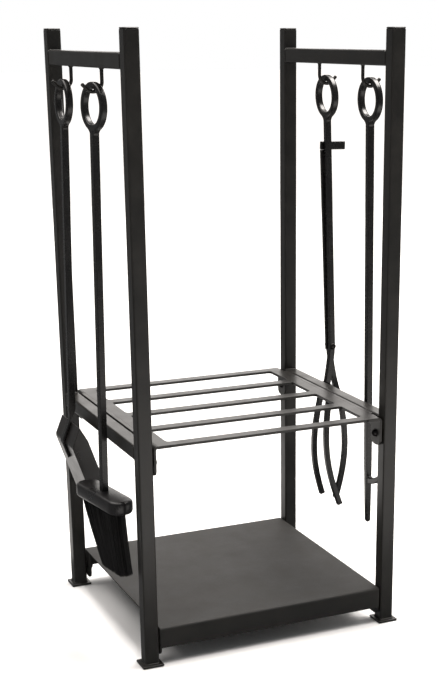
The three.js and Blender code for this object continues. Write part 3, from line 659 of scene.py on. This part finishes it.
BRUSH_SHAFT = 485.0
HEAD_LENGTH = 125.0
HEAD_WIDTH = 36.0
HEAD_HEIGHT = 19.0
HEAD_EASE = 4.5
SOCKET = 8.0
BRISTLE_LENGTH = 86.0
BRISTLE_TOP = (22.0, 102.0)
BRISTLE_TIP = (20.0, 62.0)
BRISTLE_SWEEP = 38.0
BRISTLE_SETBACK = 4.0
TUFT_ROWS = (6, 27)
TUFT_RADIUS = 1.35
TUFT_BRISTLES = 18
BRISTLE_THICKNESS = 0.62
BRISTLE_CURVE = 1.12
TIP_STRAY = 0.55
TRIM_STRAY = 0.9
FIBRE_RINGS = 5
FIBRE_SIDES = 3

matrix, origin = places["brush"]
shaft = sweep(
    [[0, 0, shaft_top + BAR_SINK], [0, 0, shaft_top - BRUSH_SHAFT]], AXIS_X,
    TOOL_BAR, TOOL_BAR, BAR_EDGE, 0.5,
)
piece(
    "brush_bar", [moved(shaft, matrix, origin)], "brush", tool_coat, "tool_steel", "brush_shaft"
)
head_top = shaft_top - BRUSH_SHAFT + SOCKET
head = sweep(
    [[0, 0, head_top - HEAD_HEIGHT], [0, 0, head_top]], AXIS_X,
    HEAD_WIDTH, HEAD_LENGTH, HEAD_WIDTH / 2 - 0.05, HEAD_EASE, steps=10,
)
collar = sweep(
    [[0, 0, head_top - 2], [0, 0, head_top + 0.25]], AXIS_X, TOOL_BAR + 4, TOOL_BAR + 4, 3.0, 0.2
)


def moulded(name, shade, rough):
    """Moulded polypropylene: a soft satin skin with a faint spark-eroded grain, a little glossier
    where it has been handled."""
    material, tree, where = bare_material(name)
    grain = add(
        tree, "ShaderNodeTexNoise", {"Vector": where, "Scale": per_metre(0.9), "Detail": 3.0}
    )
    rubbed = add(
        tree, "ShaderNodeTexNoise", {"Vector": where, "Scale": per_metre(30), "Detail": 3.0}
    )
    uneven = add(
        tree,
        "ShaderNodeMapRange",
        {"Value": rubbed.outputs["Fac"], "From Min": 0.3, "From Max": 0.7,
         "To Min": rough - 0.06, "To Max": rough + 0.1},
    )
    bump = add(
        tree,
        "ShaderNodeBump",
        {"Height": grain.outputs["Fac"], "Strength": 0.35, "Distance": 0.04 / 1000},
    )
    skin_of = add(
        tree,
        "ShaderNodeBsdfPrincipled",
        {"Base Color": linear(shade), "Roughness": uneven.outputs["Result"],
         "Normal": bump.outputs["Normal"], "IOR": 1.49},
    )
    add(tree, "ShaderNodeOutputMaterial", {"Surface": skin_of.outputs["BSDF"]})
    return material


head_plastic = moulded("moulded_polypropylene", "#161516", 0.3)
block = piece(
    "brush_block", [moved(head, matrix, origin), moved(collar, matrix, origin)], "brush",
    head_plastic, "moulding", "brush_head",
)
block.modifiers.clear()


def bristle_fibre(name, shade, tip):
    """Extruded nylon monofilament: smooth black fibre with a slight sheen, whose tone varies a
    little at random."""
    material, tree, where = bare_material(name)
    vary = add(
        tree, "ShaderNodeTexNoise", {"Vector": where, "Scale": per_metre(2.0), "Detail": 2.0}
    )
    colour = add(tree, "ShaderNodeMix", {"Factor": vary.outputs["Fac"]}, data_type="RGBA")
    colour.inputs["A"].default_value = linear(shade)
    colour.inputs["B"].default_value = linear(tip)
    fibre = add(
        tree,
        "ShaderNodeBsdfPrincipled",
        {"Base Color": colour.outputs["Result"], "Roughness": 0.55, "IOR": 1.53},
    )
    add(tree, "ShaderNodeOutputMaterial", {"Surface": fibre.outputs["BSDF"]})
    return material


rng = np.random.default_rng(7)
rows, columns = TUFT_ROWS
gx, gy = np.meshgrid(np.linspace(-1, 1, rows), np.linspace(-1, 1, columns), indexing="ij")
round_end = 1 - 0.10 * np.abs(gx) ** 2
root = np.stack([gx * (BRISTLE_TOP[0] / 2 - 2), gy * (BRISTLE_TOP[1] / 2 - 2) * round_end], -1)
root = np.repeat(root.reshape(-1, 2), TUFT_BRISTLES, 0)
angle = rng.uniform(0, 2 * math.pi, len(root))
reach = TUFT_RADIUS * np.sqrt(rng.uniform(0, 1, len(root)))
root = root + np.stack([reach * np.cos(angle), reach * np.sin(angle)], 1)
root[:, 1] -= BRISTLE_SETBACK
ratio = np.array([BRISTLE_TIP[0] / BRISTLE_TOP[0], BRISTLE_TIP[1] / BRISTLE_TOP[1]])
tip = (root + [0, BRISTLE_SETBACK]) * ratio + [0, BRISTLE_SWEEP - BRISTLE_SETBACK]
tip = tip + rng.normal(0, TIP_STRAY, tip.shape)
length = BRISTLE_LENGTH - np.abs(rng.normal(0, TRIM_STRAY, len(root)))
along = np.linspace(0, 1, FIBRE_RINGS)
bend_in = along**BRISTLE_CURVE
flat = root[:, None] + (tip - root)[:, None] * bend_in[None, :, None]
bristle_top = head_top - HEAD_HEIGHT + 1.0
fall = bristle_top - along[None, :] * (length[:, None] + 1.0)
line = np.concatenate([flat, fall[..., None]], -1)
thirds = np.arange(FIBRE_SIDES) * 2 * math.pi / FIBRE_SIDES
spoke = rng.uniform(0, 2 * math.pi, len(root))[:, None] + thirds
thick = BRISTLE_THICKNESS / 2 * np.linspace(1, 0.6, FIBRE_RINGS)
offset = np.stack([np.cos(spoke), np.sin(spoke), np.zeros_like(spoke)], -1)
rings = line[:, :, None] + offset[:, None] * thick[None, :, None, None]
corners = rings.reshape(-1, 3) @ matrix.T + origin
base = np.arange(len(root))[:, None, None] * FIBRE_RINGS * FIBRE_SIDES
i = np.arange(FIBRE_RINGS - 1)[None, :, None] * FIBRE_SIDES
j = np.arange(FIBRE_SIDES)[None, None, :]
after = i + FIBRE_SIDES
beside = (j + 1) % FIBRE_SIDES
sides = np.stack([base + i + j, base + after + j, base + after + beside, base + i + beside], -1)
sides = sides.reshape(-1, 4)
end_face = np.arange(FIBRE_SIDES)
last_corner = FIBRE_RINGS * FIBRE_SIDES - 1
ends = np.concatenate([base[:, 0] + end_face, base[:, 0] + last_corner - end_face])
fibres = (corners, sides.tolist() + ends.tolist())
level = np.linspace(0, 1, 9)
core_x = np.interp(level, [0, 1], [BRISTLE_TOP[0] - 5, BRISTLE_TIP[0] - 5])
core_y = np.interp(level, [0, 1], [BRISTLE_TOP[1] - 7, BRISTLE_TIP[1] - 6])
core_mid = -BRISTLE_SETBACK + BRISTLE_SWEEP * level**BRISTLE_CURVE
core_z = bristle_top - 0.5 - (BRISTLE_LENGTH - 4) * level
around = np.stack(outline(2.0, 2.0, 0.35, 40), 1) / 2
core_rings = np.concatenate(
    [around[None] * np.stack([core_x, core_y], 1)[:, None], np.zeros((9, 40, 1))], -1
)
core_rings[:, :, 1] += core_mid[:, None]
core_rings[:, :, 2] += core_z[:, None]
core = skin(core_rings)
fibre = bristle_fibre("black_nylon_bristle", "#070607", "#0e0d0e")
bristles = piece(
    "brush_tufts", [fibres, moved(core, matrix, origin)], "brush", fibre, "bristle",
    "brush_bristles",
)
bristles.modifiers.clear()

# ---------------------------------------------------------------------------------------------
# Shovel
# The square steel shaft is forged flat at its foot and follows the outside of the pan, to
# which it is welded. The pan is one steel sheet, folded up at the back and both sides.
# ---------------------------------------------------------------------------------------------

SHOVEL_SHAFT = 408.5
TANG = 4.0
TANG_REACH = 26.0
TANG_SPREAD = 2.0
PAN_WIDTH = 86.0
PAN_LENGTH = 108.0
PAN_SIDE = 24.0
PAN_BACK = 30.0
PAN_SHEET = 2.0
BACK_ANGLE = math.radians(21)
FLOOR_ANGLE = math.radians(20)

matrix, origin = places["shovel"]
tang_x = (TOOL_BAR - TANG) / 2
tang_top = np.array([tang_x, shaft_top - SHOVEL_SHAFT])
back_way = np.array([math.sin(BACK_ANGLE), -math.cos(BACK_ANGLE)])
floor_way = np.array([-math.sin(FLOOR_ANGLE), -math.cos(FLOOR_ANGLE)])
tang_knee = tang_top + back_way * (PAN_BACK + TANG)
tang_end = tang_knee + floor_way * TANG_REACH


def rounded_knee(before, knee, after, reach, steps=7):
    """A corner of a path as a parabola: (1-t)^2 A + 2 t (1-t) knee + t^2 B, where A and B are
    reach before and after the knee."""
    a = knee + (before - knee) / np.linalg.norm(before - knee) * reach
    b = knee + (after - knee) / np.linalg.norm(after - knee) * reach
    t = np.linspace(0, 1, steps)[:, None]
    return (1 - t) ** 2 * a + 2 * t * (1 - t) * knee + t**2 * b


def upright(path, y=0.0):
    """Points in X and Z as points in space, at one y."""
    path = np.asarray(path, float)
    return np.stack([path[:, 0], np.full(len(path), y), path[:, 1]], 1)


square_end = np.array([0.0, tang_top[1] + 16])
forge = np.linspace(0, 1, 6)[:, None]
drawn = square_end + forge * (tang_top + [0, 2] - square_end)
close = np.array([6, 4, 2.4, 1.2, 0.4, 0])
end_cap = tang_end - floor_way * close[:, None]
path = np.concatenate(
    [
        [[0, shaft_top + BAR_SINK], [0, square_end[1] + 20]],
        drawn,
        rounded_knee(drawn[-1], tang_top, tang_knee, 2.5, 4),
        rounded_knee(tang_top, tang_knee, end_cap[0], 5),
        end_cap,
    ]
)
thick = np.full(len(path), TANG)
thick[:2] = TOOL_BAR
thick[2:8] = TOOL_BAR + (TANG - TOOL_BAR) * (3 * forge[:, 0] ** 2 - 2 * forge[:, 0] ** 3)
wide = np.full(len(path), TOOL_BAR + TANG_SPREAD)
wide[:2] = TOOL_BAR
wide[2:8] = TOOL_BAR + TANG_SPREAD * forge[:, 0]
nose_radius = TOOL_BAR / 2 + 1
short = nose_radius - np.minimum(close, nose_radius)
wide[-6:] = 2 * np.sqrt(nose_radius**2 - short**2) + 1.5
wide[-6:] = np.minimum(wide[-6:], TOOL_BAR + TANG_SPREAD)
shaft = sweep(upright(path), AXIS_Y, wide, thick, BAR_EDGE)
piece(
    "shovel_bar", [moved(shaft, matrix, origin)], "shovel", tool_coat, "tool_steel",
    "shovel_shaft",
)

gap = TANG / 2 + PAN_SHEET / 2
lean_in = np.array([-1.0, -math.tan((BACK_ANGLE - FLOOR_ANGLE) / 2)])
lean_in = lean_in / np.linalg.norm(lean_in)
knee = tang_knee + lean_in * gap / math.cos((BACK_ANGLE + FLOOR_ANGLE) / 2)
pan_top = knee - back_way * PAN_BACK
pan_lip = knee + floor_way * PAN_LENGTH
sheet_path = np.concatenate([[pan_top], rounded_knee(pan_top, knee, pan_lip, 4), [pan_lip]])
floor_sheet = sweep(upright(sheet_path), AXIS_Y, PAN_WIDTH, PAN_SHEET, 0.7, 0.5)


def plate(path, y, thickness, ease=0.5):
    """A flat plate with the outline path in X and Z. Its two faces are inset by ease along the
    outline's own normals."""
    path = np.asarray(path, float)
    way = np.roll(path, -1, 0) - np.roll(path, 1, 0)
    way = way / np.linalg.norm(way, axis=1)[:, None]
    normal = np.stack([way[:, 1], -way[:, 0]], 1)
    area = (path[:, 0] * np.roll(path[:, 1], -1) - path[:, 1] * np.roll(path[:, 0], -1)).sum()
    normal = normal * np.sign(area)
    half = thickness / 2
    levels = [(-half, ease), (-half + ease * 0.4, ease * 0.2), (-half + ease, 0)]
    levels += [(half - ease, 0), (half - ease * 0.4, ease * 0.2), (half, ease)]
    rings = np.stack([upright(path - normal * inset, y + lift) for lift, inset in levels])
    return skin(rings)


inward = np.array([-math.cos(FLOOR_ANGLE), math.sin(FLOOR_ANGLE)])
wall_back = knee + inward * PAN_SIDE
wall_lip = pan_lip + inward * PAN_SIDE
shoulder = wall_back - floor_way * PAN_SIDE * 0.1
t = np.linspace(0, 1, 12)[:, None]
crown = (1 - t) ** 2 * wall_back + 2 * t * (1 - t) * shoulder + t**2 * pan_top
nose = rounded_knee(pan_lip, wall_lip, wall_back, 5, 6)
wall = np.concatenate([[knee], [pan_lip], nose, crown])
wall_y = (PAN_WIDTH - PAN_SHEET) / 2
walls = [plate(wall, y, PAN_SHEET) for y in (-wall_y, wall_y)]
pan_coat = powder_coat("semi_gloss_powder_coat_sheet", "#171514", "#201d1c", 0.26, 0.4, 1.5, 0.03)
piece(
    "shovel_scoop", [moved(shell, matrix, origin) for shell in (floor_sheet, *walls)], "shovel",
    pan_coat, "tool_steel", "shovel_pan",
)

# ---------------------------------------------------------------------------------------------
# Poker
# A square steel shaft drawn down to a rounded point, with a short barb of thinner bar welded
# on one side and bent up at its end.
# ---------------------------------------------------------------------------------------------

POKER_LENGTH = 585.0
POKER_TAPER = 100.0
POKER_TIP = 7.0
BARB_HEIGHT = 68.0
BARB_REACH = 36.0
BARB = 8.5
BARB_RISE = 14.0

matrix, origin = places["poker"]
poker_foot = shaft_top - POKER_LENGTH
nose = np.linspace(0, math.pi / 2, 7)
nose_z = poker_foot + POKER_TIP * 0.7 * (1 - np.cos(nose))
nose_side = np.maximum(POKER_TIP * np.sin(nose), 0.6)
z = np.concatenate([nose_z, [poker_foot + POKER_TAPER, shaft_top + BAR_SINK]])
side = np.concatenate([nose_side, [TOOL_BAR, TOOL_BAR]])
points = np.stack([np.zeros(len(z)), np.zeros(len(z)), z], 1)
shaft = sweep(points, AXIS_X, side, side, BAR_EDGE)
piece(
    "poker_bar", [moved(shaft, matrix, origin)], "poker", tool_coat, "tool_steel", "poker_shaft"
)
t = np.linspace(0, 1, 16)
barb_path = np.stack(
    [
        np.zeros(16),
        -TOOL_BAR / 2 + 0.6 - (BARB_REACH + 0.3) * t,
        poker_foot + BARB_HEIGHT + BARB_RISE * t**2,
    ],
    1,
)
thin = BARB * (1 - 0.12 * t**3)
barb = sweep(barb_path, AXIS_X, thin, thin, BAR_EDGE, 1.0)
seat = np.array([0, -TOOL_BAR / 2 - 0.1, poker_foot + BARB_HEIGHT])
barb_bead = weld_bead(seat, AXIS_Y, AXIS_X, BARB, BARB, BAR_EDGE, SMALL_BEAD)
piece(
    "poker_hook", [moved(shell, matrix, origin) for shell in (barb, barb_bead)], "poker",
    tool_coat, "tool_steel", "poker_barb",
)

# ---------------------------------------------------------------------------------------------
# Tongs
# A fixed square steel bar that ends in a two-pronged fork, and a moving flat arm riveted behind
# it that becomes the single jaw. A thumb lever is welded across the top of the arm.
# ---------------------------------------------------------------------------------------------

TONGS_BAR = 9.0
PIVOT_DROP = 340.5
PRONG = 8.0
JAW_LENGTH = 248.0
JAW_BULGE = 19.0
JAW_SKEW = 1.4
FORK_TIP = 6.4
ARM_TIP = 1.7
FORK_DROP = 62.0
FORK_SPREAD = (24.0, 62.0)
ARM = 5.0
ARM_TOP = 17.0
ARM_PIVOT = 13.0
ARM_LENGTH = 293.0
JOG = (50.0, 105.0)
LEVER = (40.0, 12.0)
LEVER_TILT = math.radians(3)
GAP = 0.3
RIVET_RADIUS = 2.5
RIVET_HEAD_RADIUS = 5.0
RIVET_HEAD = 2.5
RIVET_RIM = 0.2

matrix, origin = places["tongs"]
pivot_z = shaft_top - PIVOT_DROP
arm_y = TONGS_BAR / 2 + GAP + ARM / 2


def jaw(drop, way, tip):
    """The jaw's middle line: bulge sin(pi t^skew) + tip t to one side, at t = drop / length."""
    t = drop / JAW_LENGTH
    return way * (JAW_BULGE * np.sin(math.pi * t**JAW_SKEW) + tip * t)


drop = np.linspace(0, FORK_DROP, 14)
curve = np.stack([jaw(drop, -1, FORK_TIP), np.zeros(14), pivot_z - drop], 1)
points = np.concatenate([[[0, 0, shaft_top + BAR_SINK], [0, 0, pivot_z + 12]], curve])
shaft = sweep(points, AXIS_Y, TONGS_BAR, TONGS_BAR, BAR_EDGE)
piece(
    "tongs_bar", [moved(shaft, matrix, origin)], "tongs", tool_coat, "tool_steel", "tongs_shaft"
)

shells = []
drop = np.linspace(FORK_DROP, JAW_LENGTH, 30)
spread = np.interp(drop, [FORK_DROP, JAW_LENGTH], FORK_SPREAD) / 2
for way in (-1, 1):
    points = np.stack([jaw(drop, -1, FORK_TIP), way * spread, pivot_z - drop], 1)
    root = points[:1] + np.array([[0, 0, PRONG / 2 - 0.2]])
    shells.append(sweep(np.concatenate([root, points]), AXIS_Y, PRONG, PRONG, BAR_EDGE, 0.8))
root_x = jaw(FORK_DROP, -1, FORK_TIP)
half = FORK_SPREAD[0] / 2 + PRONG / 2 - 0.3
line = [[root_x, -half, pivot_z - FORK_DROP], [root_x, half, pivot_z - FORK_DROP]]
shells.append(sweep(line, AXIS_X, PRONG - 0.4, PRONG - 0.4, BAR_EDGE, 2.5))
piece(
    "tongs_prongs", [moved(shell, matrix, origin) for shell in shells], "tongs", tool_coat,
    "tool_steel", "tongs_fork",
)

line = [[0, arm_y, pivot_z - ARM_PIVOT / 2], [0, arm_y, pivot_z + ARM_LENGTH + 1.6]]
upper = sweep(line, AXIS_Y, ARM, [ARM_PIVOT, ARM_TOP], 0.9, 0.5)
drop = np.linspace(0, JAW_LENGTH, 40)
ease_in = np.clip((drop - JOG[0]) / (JOG[1] - JOG[0]), 0, 1)
jog = (arm_y + (PRONG - ARM) / 2) * (1 - ease_in**2 * (3 - 2 * ease_in))
points = np.stack([jaw(drop, 1, ARM_TIP), jog, pivot_z - drop], 1)
lower = sweep(points, AXIS_Y, PRONG, PRONG, BAR_EDGE, 0.8)
piece(
    "tongs_lever_arm", [moved(shell, matrix, origin) for shell in (upper, lower)], "tongs_arm",
    tool_coat, "tool_steel", "tongs_arm",
)

mid_x = LEVER[0] / 2 - ARM_TOP / 2
rise = GAP + LEVER[1] / 2 + mid_x * math.sin(LEVER_TILT)
centre = np.array([mid_x, arm_y, pivot_z + ARM_LENGTH + rise])
reach = LEVER[0] / 2 * np.array([math.cos(LEVER_TILT), 0, -math.sin(LEVER_TILT)])
lever = sweep([centre - reach, centre + reach], AXIS_Y, ARM, LEVER[1], 1.6, 1.0)
seam = np.array([0.0, arm_y, pivot_z + ARM_LENGTH + 0.2])
lever_bead = weld_bead(seam, AXIS_Z, AXIS_X, ARM_TOP - 1.5, ARM - 2.0, 0.8, 0.8)
piece(
    "tongs_thumb_bar", [moved(shell, matrix, origin) for shell in (lever, lever_bead)],
    "tongs_arm", tool_coat, "tool_steel", "tongs_lever",
)

low, high = place("tongs_rivet")
rivet_y = (high - low)[1]
centre = (low + high) / 2
dome = np.linspace(0, math.pi / 2, 7)
front_head = [(RIVET_HEAD * (1 - math.cos(t)), RIVET_HEAD_RADIUS * math.sin(t)) for t in dome]
stations = [(d, max(r, 0.02)) for d, r in front_head]
stations += [(RIVET_HEAD + RIVET_RIM, RIVET_HEAD_RADIUS - RIVET_RIM)]
stations += [(RIVET_HEAD + RIVET_RIM, RIVET_RADIUS)]
back_head = [(rivet_y - d, r) for d, r in stations[::-1]]
rivet = turned(stations + back_head, centre - AXIS_Y * rivet_y / 2, AXIS_Y, AXIS_Z)
piece("tongs_pin", [rivet], "tongs", bolt_plate, "fastener", "tongs_rivet")

# ---------------------------------------------------------------------------------------------
# Finishes of the bare frame
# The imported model's own nodes are hidden, because a piece stands for each of them. They get the
# finish of their piece all the same, so that a view of the bare frame shows it.
# ---------------------------------------------------------------------------------------------

finishes = {
    "frame_steel": frame_coat,
    "tool_steel": tool_coat,
    "fastener": bolt_plate,
    "moulding": head_plastic,
    "bristle": fibre,
}
slots = {part["node"]: part["material_slot"] for part in frame["record"]["subparts"]}
for name, node in frame["nodes"].items():
    node.data.materials.clear()
    node.data.materials.append(finishes[slots[name]])

# ---------------------------------------------------------------------------------------------
# Studio
# A wide pale matt floor under a broad overhead light, with a brighter key light for the rings,
# a panel behind for the flat tops, and two low panels that stand for the lit floor near the
# feet. The surround is white where it is seen and dimmer in what it lights.
# ---------------------------------------------------------------------------------------------

FLOOR_HALF = 30.0
FLOOR_DROP = 0.0004
WARM = (1.0, 0.955, 0.915)
DIMMED = 0.18
centre_x = (place("post_front_left")[0][0] + place("post_front_right")[1][0]) / 2 / 1000


def soft_panel(name, where, target, width, height, radiance, tint):
    """A rectangular soft light facing a point. Its power is pi x area x radiance."""
    data = bpy.data.lights.new(name, "AREA")
    data.shape = "RECTANGLE"
    data.size = width
    data.size_y = height
    data.energy = math.pi * width * height * radiance
    data.color = tint
    panel = bpy.data.objects.new(name, data)
    bpy.context.scene.collection.objects.link(panel)
    panel.location = where
    panel.rotation_mode = "QUATERNION"
    way = Vector(target) - Vector(where)
    panel.rotation_quaternion = way.to_track_quat("-Z", "Y")
    panel.visible_camera = False
    return panel


diffuser = bpy.data.lights.new("overhead", "SUN")
diffuser.energy = 3.7
diffuser.angle = math.radians(78)
diffuser.color = WARM
overhead = bpy.data.objects.new("overhead", diffuser)
bpy.context.scene.collection.objects.link(overhead)
overhead.rotation_euler = (math.radians(-12), 0.0, 0.0)
soft_panel("key", (0.9, 0.05, 2.9), (0.1, 0.0, 0.75), 1.5, 1.3, 15.0, WARM)
soft_panel("back_wall", (2.3, 4.3, 1.5), (0.0, 0.0, 0.8), 5.0, 2.2, 1.8, WARM)
soft_panel("rear_bounce", (-0.14, 0.62, 0.01), (-0.14, 0.62, 1.0), 0.5, 0.75, 1.0, WARM)
soft_panel("floor_bounce", (0.35, -0.95, 0.01), (0.35, -0.95, 1.0), 1.8, 1.0, 1.3, WARM)

floor_mesh = bpy.data.meshes.new("floor")
floor_mesh.from_pydata(
    [(-FLOOR_HALF, -FLOOR_HALF, -FLOOR_DROP), (FLOOR_HALF, -FLOOR_HALF, -FLOOR_DROP),
     (FLOOR_HALF, FLOOR_HALF, -FLOOR_DROP), (-FLOOR_HALF, FLOOR_HALF, -FLOOR_DROP)],
    [], [(0, 1, 2, 3)],
)
paint = bpy.data.materials.new("pale_floor")
paint.use_nodes = True
finish = paint.node_tree.nodes["Principled BSDF"]
finish.inputs["Base Color"].default_value = (0.92, 0.92, 0.92, 1)
finish.inputs["Roughness"].default_value = 0.9
finish.inputs["Specular IOR Level"].default_value = 0.1
floor_mesh.materials.append(paint)
floor = bpy.data.objects.new("floor", floor_mesh)
bpy.context.scene.collection.objects.link(floor)
floor.visible_glossy = False

world = bpy.data.worlds.new("studio")
bpy.context.scene.world = world
world.use_nodes = True
tree = world.node_tree
tree.nodes.clear()
seen = add(tree, "ShaderNodeLightPath").outputs["Is Camera Ray"]
level = add(tree, "ShaderNodeMapRange", {"Value": seen, "To Min": DIMMED, "To Max": 1.0})
surround = add(
    tree,
    "ShaderNodeBackground",
    {"Color": (1.0, 1.0, 1.0, 1.0), "Strength": level.outputs["Result"]},
)
add(tree, "ShaderNodeOutputWorld", {"Surface": surround.outputs["Background"]})
bpy.context.scene.view_settings.view_transform = "Standard"

CAMERA_AT = (-0.7453, -1.8015, 0.8170)
CAMERA_YAW = math.radians(24.78)
CAMERA_PITCH = math.radians(17.82)
CAMERA_ROLL = math.radians(-0.18)

camera_data = bpy.data.cameras.new("camera")
camera_data.lens = 71.29
camera_data.sensor_width = 36.0
camera_data.shift_x = -0.0831
camera_data.shift_y = 0.1857
camera_data.clip_end = 100.0
camera = bpy.data.objects.new("camera", camera_data)
bpy.context.scene.collection.objects.link(camera)
look = np.array(
    [
        math.sin(CAMERA_YAW) * math.cos(CAMERA_PITCH),
        math.cos(CAMERA_YAW) * math.cos(CAMERA_PITCH),
        -math.sin(CAMERA_PITCH),
    ]
)
level = np.array([math.cos(CAMERA_YAW), -math.sin(CAMERA_YAW), 0.0])
above = np.cross(level, look)
right = math.cos(CAMERA_ROLL) * level + math.sin(CAMERA_ROLL) * above
up = -math.sin(CAMERA_ROLL) * level + math.cos(CAMERA_ROLL) * above
turn_to = Matrix(np.stack([right, up, -look], 1).tolist())
camera.rotation_mode = "QUATERNION"
camera.rotation_quaternion = turn_to.to_quaternion()
camera.location = (CAMERA_AT[0] + centre_x, CAMERA_AT[1], CAMERA_AT[2])
bpy.context.scene.camera = camera
